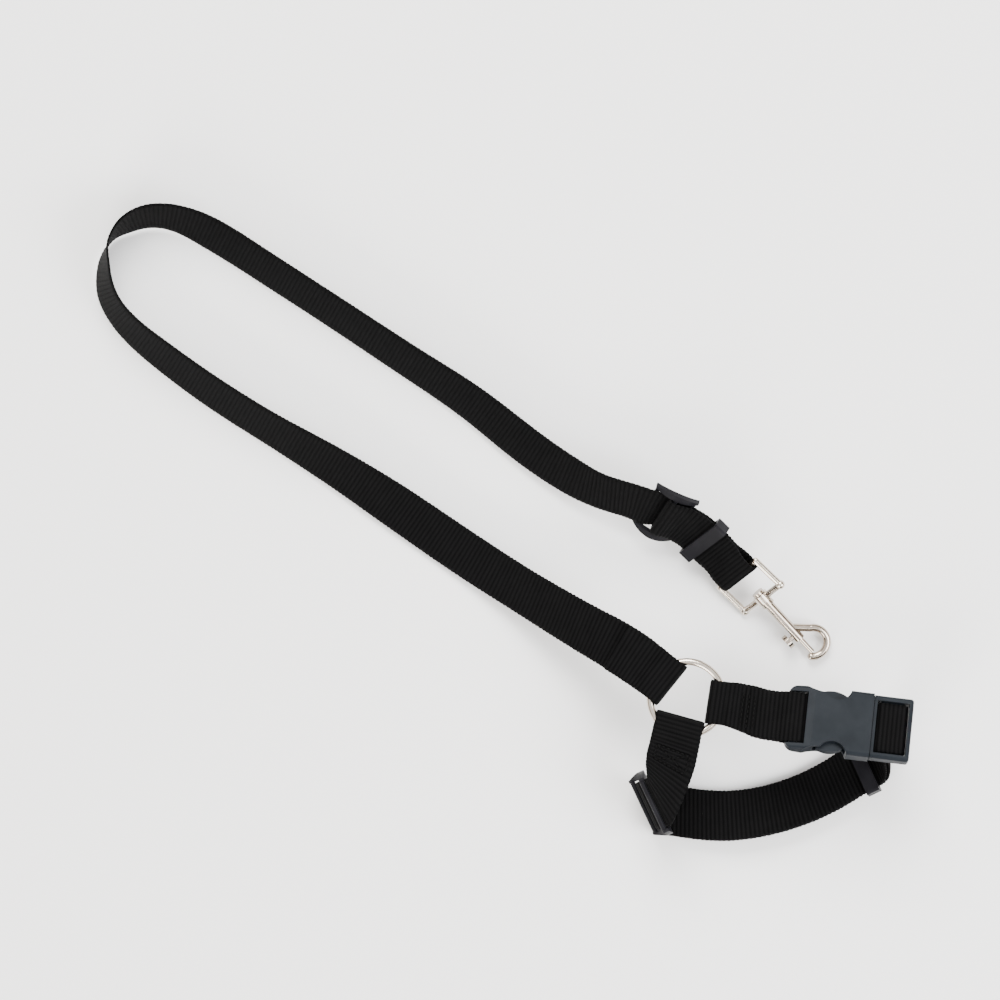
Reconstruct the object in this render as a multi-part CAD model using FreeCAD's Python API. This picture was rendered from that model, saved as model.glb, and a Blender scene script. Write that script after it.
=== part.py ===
import FreeCAD, Part
import math
import os

# Adjustable webbing restraint for a dog: a long tether with a swivel bolt snap, an O-ring, and a
# small buckled neck loop. It is modelled as it lies on a table, in millimetres, +Z up. The layout
# is drawn about the O-ring's centre, with +X along the tether from its far bend to the ring. At
# the end every part is moved by the same amount, so that the origin is the centre of the base.

# Driving dimensions
WEB_WIDTH = 25.0           # webbing width
WEB_THICK = 1.4            # webbing thickness
LAYER_GAP = 0.4            # air between two layers of webbing
FIT_GAP = 0.45             # air between webbing and the hardware that it wraps
RING_WIRE = 3.5            # O-ring wire diameter
RING_INSIDE = 32.0         # O-ring inner diameter
RING_HEIGHT = 36.0         # height of the O-ring's middle plane in the layout
TETHER_FOLD = (12.5, 24.0)     # from the ring's centre to the middle of each strap's fold,
SHORT_FOLD = (13.8, 21.4)      # and the width to which the webbing bunches there
LOOP_FOLD = (12.4, 24.0)
EYE_FOLD_WIDTH = 23.0          # the same where the tether folds round the snap's eye
SHORT_STRAP_ANGLE = 25.5   # plan angle at which the buckle's strap leaves the ring
EYE_INSIDE = 24.5          # snap eye, inner width
EYE_WIRE = 3.2             # snap eye, wire diameter
EYE_REACH = 17.0           # from the eye's strap bar to its cross bar
SHANK_R = 1.7              # swivel shank in the eye's boss
PIN_GAP = 0.06             # radial running clearance of the swivel shank and of the bolt
BARREL_R = 2.5             # snap body radius
BARREL_END = 28.0          # from the eye's cross bar to the open end of the barrel
BOLT_R = 1.3
BOLT_TIP = 37.0            # from the eye's cross bar to the closed bolt's tip
BOLT_TRAVEL = 7.0          # how far the thumb bolt draws back
BOW_R = 7.2                # middle radius of the hook bow
BOW_WIRE = 3.8             # hook bow, wire diameter
BOSS_HALF = 2.2            # half the length of the eye's swivel boss
BOSS_R = 3.9
CORNER_LUG_R = 2.2         # lugs at the corners of the eye's cross bar
END_PLAY = 0.15            # end play of the swivel
BORE_FROM = 8.0            # where the barrel's bore for the spring and bolt begins
STUD_X = 25.0              # the bolt's thumb stud, and how far it stands out of the barrel
STUD_REACH = 6.6
THUMB_SLOT = (16.0, 26.5)  # the barrel's slot for the stud, along its axis
THUMB_SLOT_WIDTH = 2.8
SLIDER_PITCH = 9.6         # between neighbouring bars of a tri-glide adjuster
SLIDER_WIDTH = 34.0        # tri-glide adjuster, across the webbing
SLIDER_BAR = 2.5           # thickness of the tri-glide's bars
SLIDER_ARCH = 3.8          # how far the tri-glide's middle bar stands above its end bars
SLIDER_BOW = 2.6           # how far the middle of its side rails bows outward
KEEPER_LENGTH = 6.8        # webbing keeper, along the webbing
KEEPER_WALL = 1.5
BUCKLE_LENGTH = 61.0       # side-release buckle, closed
BUCKLE_WIDTH = 32.5
BUCKLE_THICK = 10.5
FEMALE_LENGTH = 41.5
BUCKLE_TRAVEL = 26.0       # how far the prong side slides out

RING_R = (RING_INSIDE + RING_WIRE) / 2
LAYER = (WEB_THICK + LAYER_GAP) / 2      # from the middle of a doubled strap to each layer
ARCH_TOP = 1.6                           # middle bar's height over the strap's middle surface
ARCH_FOOT = ARCH_TOP - SLIDER_ARCH       # end bars' height over the strap's middle surface


def vec(x, y, z=0.0):
    return FreeCAD.Vector(x, y, z)


def plan(angle, length=1.0):
    """A level vector at a plan angle in degrees."""
    turn = math.radians(angle)
    return vec(length * math.cos(turn), length * math.sin(turn))


def unit(v):
    return v * (1.0 / v.Length)


# Routes. A tether station is x, y, z of the middle line and the roll of its width, in degrees
# above the level line across the strap. A loop station gives its width's direction instead.
TETHER_ROUTE = [
    (0, 0, 36, 180), (-18, 1.4, 36, 180), (-34, 2.0, 35, 175), (-58, 0.6, 27.5, 161),
    (-92, -1.4, 15, 151), (-130, -2.3, 8, 151), (-168, -2.1, 8.5, 148), (-207, -2.8, 10, 137),
    (-240, -4.7, 11, 128), (-275, -5.8, 11.5, 126), (-308, -4.6, 12, 123), (-330, -1.6, 12.3, 118),
    (-345, 5.4, 12.5, 114), (-354, 16.5, 13, 106), (-358, 28, 13.2, 90), (-355.5, 39, 13, 74),
    (-349.5, 47.5, 12.6, 67), (-339, 54, 12, 62), (-320, 58, 11.2, 54), (-290, 59.2, 11, 54),
    (-245, 60, 11, 54), (-200, 60.5, 11, 52), (-165, 60.6, 11, 48), (-135, 58.4, 11.8, 45),
    (-106, 58.2, 14.5, 46), (-90, 60.2, 18, 49), (-79, 63.4, 20.6, 49), (-69, 66.2, 21.4, 47),
    (-58, 68.5, 20, 45), (-47, 69.9, 17.9, 43), (-35, 68.5, 15.8, 41), (-23, 66.3, 14.1, 40),
    (-12, 64.0, 12.8, 40), (2, 61.1, 11.5, 40),
]
TETHER_SLIDER_AT = 28      # route stations at which the tether's slider and its eye stand
TETHER_KEEPER_AT = 30
TETHER_EYE_AT = 32
SNAP_AXIS = unit(vec(0.958, -0.221, -0.2))

BUCKLE_START = vec(44.8, 19.3, 40.0)
BUCKLE_ANGLE = 27.0        # plan angle of the buckle's long axis
BUCKLE_ROLL = 18.0         # its outer edge is the raised one


def roll_width(along, roll):
    """The width's direction of a strap that runs along `along`, rolled above the level line."""
    level = unit(vec(0, 0, 1).cross(along))
    rise = unit(along.cross(level))
    turn = math.radians(roll)
    return level * math.cos(turn) + rise * math.sin(turn)


class Track:
    """The middle surface of a strap: a smooth line through stations, with a width direction."""

    def __init__(self, points, widths=None, rolls=None):
        self.params = [0.0]
        for a, b in zip(points, points[1:]):
            self.params.append(self.params[-1] + (b - a).Length)
        self.line = Part.BSplineCurve()
        self.line.interpolate(Points=points, Parameters=self.params)
        if rolls:
            ways = [unit(self.line.getD1(p)[1]) for p in self.params]
            widths = [roll_width(way, roll) for way, roll in zip(ways, rolls)]
        self.widths = widths

    def width(self, s):
        """The width's direction at parameter s, by a smooth cubic between the stations."""
        last = len(self.params) - 1
        i = max(j for j in range(last) if self.params[j] <= s)
        u = (s - self.params[i]) / (self.params[i + 1] - self.params[i])
        w0, w1 = self.widths[max(i - 1, 0)], self.widths[i]
        w2, w3 = self.widths[i + 1], self.widths[min(i + 2, last)]
        return (w1 * 2 + (w2 - w0) * u + (w0 * 2 - w1 * 5 + w2 * 4 - w3) * u ** 2
                + (w1 * 3 - w0 - w2 * 3 + w3) * u ** 3) * 0.5

    def frame(self, s, n=0.0):
        """Point, direction, width and outward normal at station parameter s, offset by n."""
        low, high = self.params[0], self.params[-1]
        held = min(max(s, low), high)
        point, way = self.line.getD1(held)
        way = unit(way)
        width = unit(self.width(held))
        normal = unit(way.cross(width))
        return point + way * (s - held) + normal * n, width.cross(normal), width, normal


def place(shape, frame, along=0.0, up=0.0):
    """Put a shape drawn with X along, Y across and Z outward at a track's frame."""
    point, way, width, normal = frame
    at = point + way * along + normal * up
    matrix = FreeCAD.Matrix(
        way.x, width.x, normal.x, at.x,
        way.y, width.y, normal.y, at.y,
        way.z, width.z, normal.z, at.z,
        0, 0, 0, 1)
    return shape.transformed(matrix)


def ease(a, b, count=5):
    """Points from a to b, (s, n) each, that leave and arrive level."""
    points = []
    for i in range(1, count + 1):
        u = i / count
        points.append((a[0] + (b[0] - a[0]) * u, a[1] + (b[1] - a[1]) * u * u * (3 - 2 * u)))
    return points


def run(a, b, step=9.0):
    """Evenly spaced points from a to b at one level."""
    count = max(1, round(abs(b[0] - a[0]) / step))
    return [(a[0] + (b[0] - a[0]) * i / count, a[1] + (b[1] - a[1]) * i / count)
            for i in range(1, count + 1)]


def turn(s, n, radius, start, end, count=8):
    """An arc in the (s, n) plane about (s, n), angles in degrees."""
    points = []
    for i in range(count + 1):
        angle = math.radians(start + (end - start) * i / count)
        points.append((s + radius * math.cos(angle), n + radius * math.sin(angle)))
    return points


def fine(path, step):
    """The same path with extra points, so that no stretch is longer than step."""
    points = [path[0]]
    for a, b in zip(path, path[1:]):
        count = math.ceil(math.hypot(b[0] - a[0], b[1] - a[1]) / step)
        points += [(a[0] + (b[0] - a[0]) * i / count, a[1] + (b[1] - a[1]) * i / count)
                   for i in range(1, count + 1)]
    return points


def ribbon(track, path, width_at):
    """A closed strap of webbing: a section of the strap at each (s, n) point of its path."""
    sections = []
    last = len(path) - 1
    for i, (s, n) in enumerate(path):
        before, after = path[max(i - 1, 0)], path[min(i + 1, last)]
        ds, dn = after[0] - before[0], after[1] - before[1]
        size = math.hypot(ds, dn)
        point, way, width, normal = track.frame(s, n)
        out = way * (-dn / size) + normal * (ds / size)
        half = width * (width_at(s) / 2)
        thick = out * (WEB_THICK / 2)
        corners = [point - half - thick, point + half - thick,
                   point + half + thick, point - half + thick]
        sections.append(Part.makePolygon(corners + corners[:1]))
    solid = Part.makeLoft(sections, True, True)
    return solid if solid.Volume > 0 else solid.reversed()


def rounded_box(x0, x1, y0, y1, z0, z1, radius=0.0):
    box = Part.makeBox(x1 - x0, y1 - y0, z1 - z0, vec(x0, y0, z0))
    return box.makeFillet(radius, box.Edges) if radius else box


def rod(a, b, radius):
    return Part.makeCylinder(radius, (b - a).Length, a, b - a)


PARTS = {}


def write(name, shape):
    """Keep a finished part under its node's name."""
    PARTS[name] = shape


# ---------------------------------------------------------------- tether

tether = Track([vec(x, y, z) for x, y, z, _ in TETHER_ROUTE],
               rolls=[station[3] for station in TETHER_ROUTE])
S_SLIDER = tether.params[TETHER_SLIDER_AT]
S_KEEPER = tether.params[TETHER_KEEPER_AT]
S_EYE = tether.params[TETHER_EYE_AT]
FOLD_R = RING_WIRE / 2 + FIT_GAP + WEB_THICK / 2         # middle of the webbing round the wire
EYE_FOLD_R = EYE_WIRE / 2 + FIT_GAP + WEB_THICK / 2
BAR_FOLD_R = SLIDER_BAR / 2 + FIT_GAP + WEB_THICK / 2    # round a tri-glide's middle bar
UNDER_BAR = ARCH_TOP - BAR_FOLD_R - WEB_THICK - FIT_GAP  # long strap below the wrapped bar
OVER_END = ARCH_FOOT + SLIDER_BAR / 2 + FIT_GAP + WEB_THICK / 2
RING_TAIL = 42.0           # how far from the ring's centre the tether's sewn end reaches
FOLD_OPEN = 8.0            # from a fold's middle to where its two layers are still full apart
FOLD_CLOSE = 12.5          # and to where they lie together


def ring_fold(fold, tail_at):
    """(s, n) path of a strap end sewn round the ring at s = fold, with its free tail underneath."""
    path = [(tail_at, -LAYER)]
    path += run(path[-1], (fold + FOLD_CLOSE, -LAYER), 5)
    path += ease(path[-1], (fold + FOLD_OPEN, -FOLD_R), 3)
    path += run(path[-1], (fold + 1, -FOLD_R), 4)
    path += turn(fold, 0, FOLD_R, -90, -270)
    path += run(path[-1], (fold + FOLD_OPEN, FOLD_R), 4)
    return path + ease(path[-1], (fold + FOLD_CLOSE, LAYER), 3)


def through_slider(s, side):
    """The long strap's (s, n) path through a tri-glide: over, under and over its three bars."""
    keys = [(s - SLIDER_PITCH, side * OVER_END), (s, side * UNDER_BAR),
            (s + SLIDER_PITCH, side * OVER_END)]
    return keys[:1] + ease(keys[0], keys[1], 5) + ease(keys[1], keys[2], 5)


def back_to_slider(s, side):
    """The doubled strap's way back from the keeper to its fold round the tri-glide's middle bar."""
    top = ARCH_TOP + BAR_FOLD_R
    over = OVER_END + WEB_THICK + LAYER_GAP
    keys = [(s + 2 * SLIDER_PITCH, side * LAYER), (s + SLIDER_PITCH, side * over), (s, side * top)]
    path = ease(keys[0], keys[1], 4) + ease(keys[1], keys[2], 5)
    path += turn(s, side * ARCH_TOP, BAR_FOLD_R, 90 * side, 270 * side)[1:]
    return path + [(s + 2.5, side * (ARCH_TOP - BAR_FOLD_R + 0.3)),
                   (s + 4.6, side * (ARCH_TOP - BAR_FOLD_R + 1.1))]


def narrow(*folds):
    """Width along a strap that bunches near each fold, given as (where, how wide)."""
    def width_at(s):
        width = WEB_WIDTH
        for middle, bunched in folds:
            far = min(max((abs(s - middle) - 6.0) / 14.0, 0.0), 1.0)
            width = min(width, bunched + (WEB_WIDTH - bunched) * far)
        return width
    return width_at


def tether_webbing():
    path = ring_fold(TETHER_FOLD[0], RING_TAIL)
    path += run(path[-1], (RING_TAIL + 1, LAYER), 5)
    path += ease(path[-1], (RING_TAIL + 15, 0), 4)
    path += run(path[-1], (S_SLIDER - 2.2 * SLIDER_PITCH, 0), 7)
    path += ease(path[-1], (S_SLIDER - SLIDER_PITCH, OVER_END), 3)[:-1]
    path += through_slider(S_SLIDER, 1)
    path += ease(path[-1], (S_SLIDER + 2 * SLIDER_PITCH, -LAYER), 4)
    path += run(path[-1], (S_EYE - 12, -LAYER), 6)
    path += ease(path[-1], (S_EYE - 5, -EYE_FOLD_R), 3)
    path += turn(S_EYE, 0, EYE_FOLD_R, -90, 90)
    path += [(S_EYE - 5, EYE_FOLD_R)]
    path += ease(path[-1], (S_EYE - 12, LAYER), 3)
    path += run(path[-1], (S_SLIDER + 2 * SLIDER_PITCH, LAYER), 6)
    path += back_to_slider(S_SLIDER, 1)
    return ribbon(tether, path, narrow(TETHER_FOLD, (S_EYE, EYE_FOLD_WIDTH)))


def tri_glide():
    """Arched adjuster with two side rails and three bars; Z = 0 is the strap's middle surface."""
    half = SLIDER_PITCH + 1.8
    low, high = ARCH_FOOT - SLIDER_BAR / 2, ARCH_TOP - SLIDER_BAR / 2

    def arch(lift):
        return Part.Arc(vec(-half, 0, low + lift), vec(0, 0, high + lift), vec(half, 0, low + lift))

    upper, lower = arch(SLIDER_BAR).toShape(), arch(0).toShape()
    ends = [Part.makeLine(vec(x, 0, low), vec(x, 0, low + SLIDER_BAR)) for x in (-half, half)]
    rail = Part.Face(Part.Wire(Part.__sortEdges__([upper, lower] + ends)))
    plate = rail.extrude(vec(0, SLIDER_WIDTH, 0))
    plate.translate(vec(0, -SLIDER_WIDTH / 2, 0))
    inside = WEB_WIDTH / 2 + 0.65
    bar_end = inside + 0.9          # the bars run this far into the rails
    body = None
    for side in (-1, 1):
        foot, crown = side * (SLIDER_WIDTH / 2 - SLIDER_BOW), side * SLIDER_WIDTH / 2
        bow = Part.Arc(vec(-half, foot), vec(0, crown), vec(half, foot)).toShape()
        inner = Part.makePolygon([vec(-half, foot), vec(-half, side * inside),
                                  vec(half, side * inside), vec(half, foot)])
        outline = Part.Face(Part.Wire([bow] + inner.Edges)).extrude(vec(0, 0, 20))
        outline.translate(vec(0, 0, -10))
        part = plate.common(outline)
        body = part if body is None else body.fuse(part)
    for x, z in ((-SLIDER_PITCH, ARCH_FOOT), (0, ARCH_TOP), (SLIDER_PITCH, ARCH_FOOT)):
        body = body.fuse(rod(vec(x, -bar_end, z), vec(x, bar_end, z), SLIDER_BAR / 2))
    return body.removeSplitter()


def keeper():
    """Plain rectangular loop round two layers of webbing."""
    inside_y = WEB_WIDTH / 2 + 0.6
    inside_z = LAYER + WEB_THICK / 2 + 0.5
    y, z = inside_y + KEEPER_WALL, inside_z + KEEPER_WALL
    half = KEEPER_LENGTH / 2
    corner = 1.2
    body = Part.makeBox(KEEPER_LENGTH, 2 * y, 2 * z, vec(-half, -y, -z))
    body = body.makeFillet(corner, [e for e in body.Edges if abs(e.tangentAt(0).x) > 0.9])
    hole = Part.makeBox(KEEPER_LENGTH + 2, 2 * inside_y, 2 * inside_z,
                        vec(-half - 1, -inside_y, -inside_z))
    return body.cut(hole)


def stitches(track, rows, height):
    """Thread stitches lying on a strap: rows from (s, y) to (s, y), height n over its middle."""
    pitch, length, size, depth = 2.6, 1.9, 0.5, 0.35
    threads = []
    for (s0, y0), (s1, y1) in rows:
        reach = math.hypot(s1 - s0, y1 - y0)
        angle = math.degrees(math.atan2(y1 - y0, s1 - s0))
        for i in range(int(reach / pitch)):
            u = pitch * (i + 0.5) / reach
            s, y = s0 + (s1 - s0) * u, y0 + (y1 - y0) * u
            point, way, width, normal = track.frame(s, height)
            thread = Part.makeBox(length, size, depth, vec(-length / 2, -size / 2, 0))
            thread.rotate(vec(0, 0, 0), vec(0, 0, 1), angle)
            threads.append(place(thread, (point + width * y, way, width, normal)))
    return Part.Compound(threads)


def box_rows(s0, s1, half):
    """Rows of a box with a cross in it."""
    a, b, c, d = (s0, -half), (s1, -half), (s1, half), (s0, half)
    return [(a, b), (b, c), (d, c), (a, d), (a, c), (d, b)]


# ---------------------------------------------------------------- snap hook

eye_frame = tether.frame(S_EYE)
EYE_WIDTH_DIR = eye_frame[2]
EYE_ALONG = unit(SNAP_AXIS - EYE_WIDTH_DIR * SNAP_AXIS.dot(EYE_WIDTH_DIR))
EYE_OUT = EYE_ALONG.cross(EYE_WIDTH_DIR)
EYE = (eye_frame[0], EYE_ALONG, EYE_WIDTH_DIR, EYE_OUT)
BOW_SIDE = unit(vec(0, 0, 1).cross(SNAP_AXIS))            # level, towards the hook bow
SNAP = (eye_frame[0] + EYE_ALONG * EYE_REACH, SNAP_AXIS, BOW_SIDE, SNAP_AXIS.cross(BOW_SIDE))


def swivel_hole(radius, low=-8.0, high=8.0):
    """A cylinder on the swivel's axis, in world position."""
    return place(rod(vec(low, 0, 0), vec(high, 0, 0), radius), SNAP)


def snap_eye():
    """Rectangular eye: round strap bar and legs, and a cross bar with the swivel's boss."""
    half = (EYE_INSIDE + EYE_WIRE) / 2
    r = EYE_WIRE / 2
    corners = [vec(0, -half), vec(0, half), vec(EYE_REACH, half), vec(EYE_REACH, -half)]
    body = None
    for a, b in zip(corners, corners[1:] + corners[:1]):
        lug = r if a.x == 0 else CORNER_LUG_R
        part = rod(a, b, r).fuse(Part.makeSphere(lug, a))
        body = part if body is None else body.fuse(part)
    body = place(body.removeSplitter(), EYE)
    boss = place(rod(vec(-BOSS_HALF, 0, 0), vec(BOSS_HALF, 0, 0), BOSS_R), SNAP)
    return body.fuse(boss).cut(swivel_hole(SHANK_R + PIN_GAP)).removeSplitter()


def snap_body():
    """Swivel rivet, shank, collar, hollow barrel and the open hook bow; X is the swivel's axis."""
    side = BOSS_HALF + END_PLAY
    collar_end = 4.6
    rivet = rod(vec(-side - 1.6, 0, 0), vec(-side, 0, 0), 3.0)
    shank = rod(vec(-side, 0, 0), vec(3.0, 0, 0), SHANK_R)
    collar = rod(vec(side, 0, 0), vec(collar_end, 0, 0), 3.3)
    barrel = rod(vec(collar_end - 0.2, 0, 0), vec(BARREL_END, 0, 0), BARREL_R)
    bore = rod(vec(BORE_FROM, 0, 0), vec(BARREL_END + 1, 0, 0), BOLT_R + PIN_GAP)
    slot = Part.makeBox(THUMB_SLOT[1] - THUMB_SLOT[0], BARREL_R + 2, THUMB_SLOT_WIDTH,
                        vec(THUMB_SLOT[0], -BARREL_R - 2, -THUMB_SLOT_WIDTH / 2))
    # The bow leaves the barrel's side, runs round, and ends in front of the bolt's tip.
    centre = vec(33.6, 3.4)
    start_angle, end_angle = 150.0, -48.0

    def on_bow(angle):
        turned = math.radians(angle)
        return centre + vec(BOW_R * math.cos(turned), BOW_R * math.sin(turned))

    first = on_bow(start_angle)
    arc = Part.Arc(first, on_bow((start_angle + end_angle) / 2), on_bow(end_angle)).toShape()
    way = vec(math.sin(math.radians(start_angle)), -math.cos(math.radians(start_angle)))
    section = Part.Wire([Part.makeCircle(BOW_WIRE / 2, first, way)])
    bow = Part.Wire([arc]).makePipeShell([section], True, True)
    neck = rod(vec(20.5, 0.4, 0), first + way * 0.3, BOW_WIRE / 2)
    tip = Part.makeSphere(BOW_WIRE / 2, on_bow(end_angle))
    joint = Part.makeSphere(BOW_WIRE / 2, first)
    body = rivet.fuse([shank, collar, barrel, neck, joint, bow, tip])
    return body.cut(bore).cut(slot).cut(rod(vec(BARREL_END, 0, 0), vec(BOLT_TIP + 0.2, 0, 0),
                                            BOLT_R + 0.3)).removeSplitter()


def snap_bolt():
    """Sprung bolt that closes the hook, with its thumb stud through the barrel's slot."""
    bolt = rod(vec(15.3, 0, 0), vec(BOLT_TIP, 0, 0), BOLT_R)
    stem = rod(vec(STUD_X, 0, 0), vec(STUD_X, 2.2 - STUD_REACH, 0), 1.2)
    stud = rod(vec(STUD_X, 2.4 - STUD_REACH, 0), vec(STUD_X, -STUD_REACH, 0), 3.6)
    return bolt.fuse([stem, stud]).removeSplitter()


def bolt_spring():
    """Spring behind the bolt, as close rings."""
    pitch, coil_r, wire_r = 0.85, 0.95, 0.25
    rings = [Part.makeTorus(coil_r, wire_r, vec(BORE_FROM + 0.5 + pitch * i, 0, 0), vec(1, 0, 0))
             for i in range(8)]
    return Part.Compound(rings)


# ---------------------------------------------------------------- side-release buckle

width_dir = plan(BUCKLE_ANGLE + 90) * math.cos(math.radians(BUCKLE_ROLL)) \
    - vec(0, 0, math.sin(math.radians(BUCKLE_ROLL)))
BUCKLE = (BUCKLE_START, plan(BUCKLE_ANGLE), width_dir, plan(BUCKLE_ANGLE).cross(width_dir))
NOTCH_X = 22.5                     # middle of the release windows along the buckle
SOCKET_FROM = 13.0                 # the socket's depth along the buckle, and its half sizes
SOCKET_HALF = 14.0
SOCKET_RISE = 2.9
EDGE_R = 1.9                       # rounding of the socket side's long edges
EAR_R = 5.5                        # rounding of its strap end in plan
FRAME_HALF_THICK = 3.8             # the prong side's frame
PRONG_FROM = 16.5                  # where the prong side's middle guide begins
WRAP_BAR_X = 51.15                 # the prong side's flat strap bar, its half width and thickness
WRAP_BAR_HALF = 5.65
WRAP_BAR_R = 1.2
END_BAR_X = 4.0                    # the socket side's strap bar
END_BAR_R = 1.5
SLOT_FROM = END_BAR_X + END_BAR_R
SLOT_TO = 9.6
SLOT_DIVE = 1.6                    # how far past the bar the webbing dives into the slot
SLOT_HALF = 13.1


def buckle_female():
    half = BUCKLE_WIDTH / 2
    top = BUCKLE_THICK / 2
    nose = 2.2
    profile = [vec(0, 0, -nose), vec(SOCKET_FROM, 0, -top), vec(FEMALE_LENGTH, 0, -top),
               vec(FEMALE_LENGTH, 0, top), vec(SOCKET_FROM, 0, top), vec(0, 0, nose)]
    body = Part.Face(Part.makePolygon(profile + profile[:1])).extrude(vec(0, 2 * half, 0))
    body.translate(vec(0, -half, 0))
    long_edges = [e for e in body.Edges if abs(e.tangentAt(0).x) > 0.9]
    body = body.makeFillet(EDGE_R, long_edges)
    # Rounded ears at the strap end
    ears = Part.makeBox(60, 2 * half, 30, vec(0, -half, -15))
    ears = ears.makeFillet(EAR_R, [e for e in ears.Edges
                                 if abs(e.tangentAt(0).z) > 0.9 and e.BoundBox.XMax < 1])
    body = body.common(ears)
    body = body.cut(rounded_box(SOCKET_FROM, FEMALE_LENGTH + 5, -SOCKET_HALF, SOCKET_HALF,
                                -SOCKET_RISE, SOCKET_RISE))
    body = body.cut(rounded_box(SLOT_FROM, SLOT_TO, -SLOT_HALF, SLOT_HALF, -9, 9))
    # The webbing lies over and under the strap bar, which is thinner than the ears.
    for low in (-9, END_BAR_R):
        body = body.cut(rounded_box(-1, SLOT_FROM + 1, -SLOT_HALF, SLOT_HALF,
                                    low, low + 9 - END_BAR_R))
    body = body.cut(rounded_box(-1, END_BAR_X - END_BAR_R, -SLOT_HALF, SLOT_HALF, -9, 9))
    for side in (-1, 1):
        waist = Part.makeCylinder(16, 30, vec(NOTCH_X - 5, side * (half + 13.4), -15))
        window = Part.makeCylinder(7.0, 30, vec(NOTCH_X + 1, side * (half + 1.2), -15))
        body = body.cut(waist).cut(window)
        low = min(side * 11, side * 20)
        body = body.cut(rounded_box(14.6, 30, low, low + 9, -SOCKET_RISE, SOCKET_RISE))
    return body.removeSplitter()


def buckle_male():
    """Prong side: frame with strap bar, end bar and the middle guide prong."""
    x0 = FEMALE_LENGTH + 0.4
    half = BUCKLE_WIDTH / 2 - 0.4
    frame = Part.makeBox(BUCKLE_LENGTH - x0, 2 * half, 2 * FRAME_HALF_THICK,
                         vec(x0, -half, -FRAME_HALF_THICK))
    frame = frame.makeFillet(1.6, [e for e in frame.Edges if abs(e.tangentAt(0).x) > 0.9])
    frame = frame.makeFillet(1.5, [e for e in frame.Edges if e.BoundBox.XMin > BUCKLE_LENGTH - 0.1])
    opening = rounded_box(x0 + 1.4, BUCKLE_LENGTH - 2.0, -13.2, 13.2, -9, 9)
    bar = rounded_box(WRAP_BAR_X - WRAP_BAR_HALF, WRAP_BAR_X + WRAP_BAR_HALF, -14, 14,
                      -WRAP_BAR_R, WRAP_BAR_R)
    bar = bar.makeFillet(WRAP_BAR_R - 0.05, [e for e in bar.Edges if abs(e.tangentAt(0).y) > 0.9])
    prong = rounded_box(PRONG_FROM, x0 + 1, -3.2, 3.2, -2.3, 2.3)
    prong = prong.makeFillet(1.0, [e for e in prong.Edges if e.BoundBox.XMax < PRONG_FROM + 0.1])
    bridge = rounded_box(x0 - 1.4, x0 + 1, -13.4, 13.4, -2.4, 2.4)
    return frame.cut(opening).fuse([bar, prong, bridge]).removeSplitter()


def latch_arm(side):
    """Flexing latch arm with its thumb pad, which fills the release window."""
    arm = rounded_box(24, FEMALE_LENGTH - 1.3, 9.0, 11.4, -2.4, 2.4)
    disc = Part.makeCylinder(13.2, 4.8, vec(21.5, 2.0, -2.4))
    pad = disc.common(rounded_box(15.8, 28.6, 8.6, 17, -3, 3))
    body = arm.fuse(pad).removeSplitter()
    return body if side > 0 else body.mirror(vec(0, 0, 0), vec(0, 1, 0))


# ---------------------------------------------------------------- neck loop

ring_centre = vec(0, 0, RING_HEIGHT)


def short_strap():
    """Short strap from the ring to the socket side of the buckle, doubled and sewn."""
    leave = plan(SHORT_STRAP_ANGLE)
    bar = BUCKLE[0] + BUCKLE[1] * END_BAR_X
    ring_width = plan(SHORT_STRAP_ANGLE + 90)
    points = [ring_centre, ring_centre + leave * 12, ring_centre + leave * 22,
              bar - BUCKLE[1] * 13, bar - BUCKLE[1] * 4, bar]
    widths = [ring_width, ring_width, unit(ring_width * 2 + BUCKLE[2] * 0.6), BUCKLE[2],
              BUCKLE[2], BUCKLE[2]]
    track = Track(points, widths=widths)
    end = track.params[-1]
    radius = END_BAR_R * 1.2 + FIT_GAP + WEB_THICK / 2
    middle = SHORT_FOLD[0] + FOLD_CLOSE + 3
    path = ring_fold(SHORT_FOLD[0], middle - 0.5)
    path += run(path[-1], (end - 9, LAYER), 4)
    path += ease(path[-1], (end - 2, radius), 3)
    path += turn(end + SLOT_DIVE, 0, radius, 90, -90)
    path += [(end - 2, -radius)]
    path += ease(path[-1], (end - 9, -LAYER), 3)
    path += run(path[-1], (middle + 0.5, -LAYER), 4)
    return track, ribbon(track, path, narrow(SHORT_FOLD))


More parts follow.
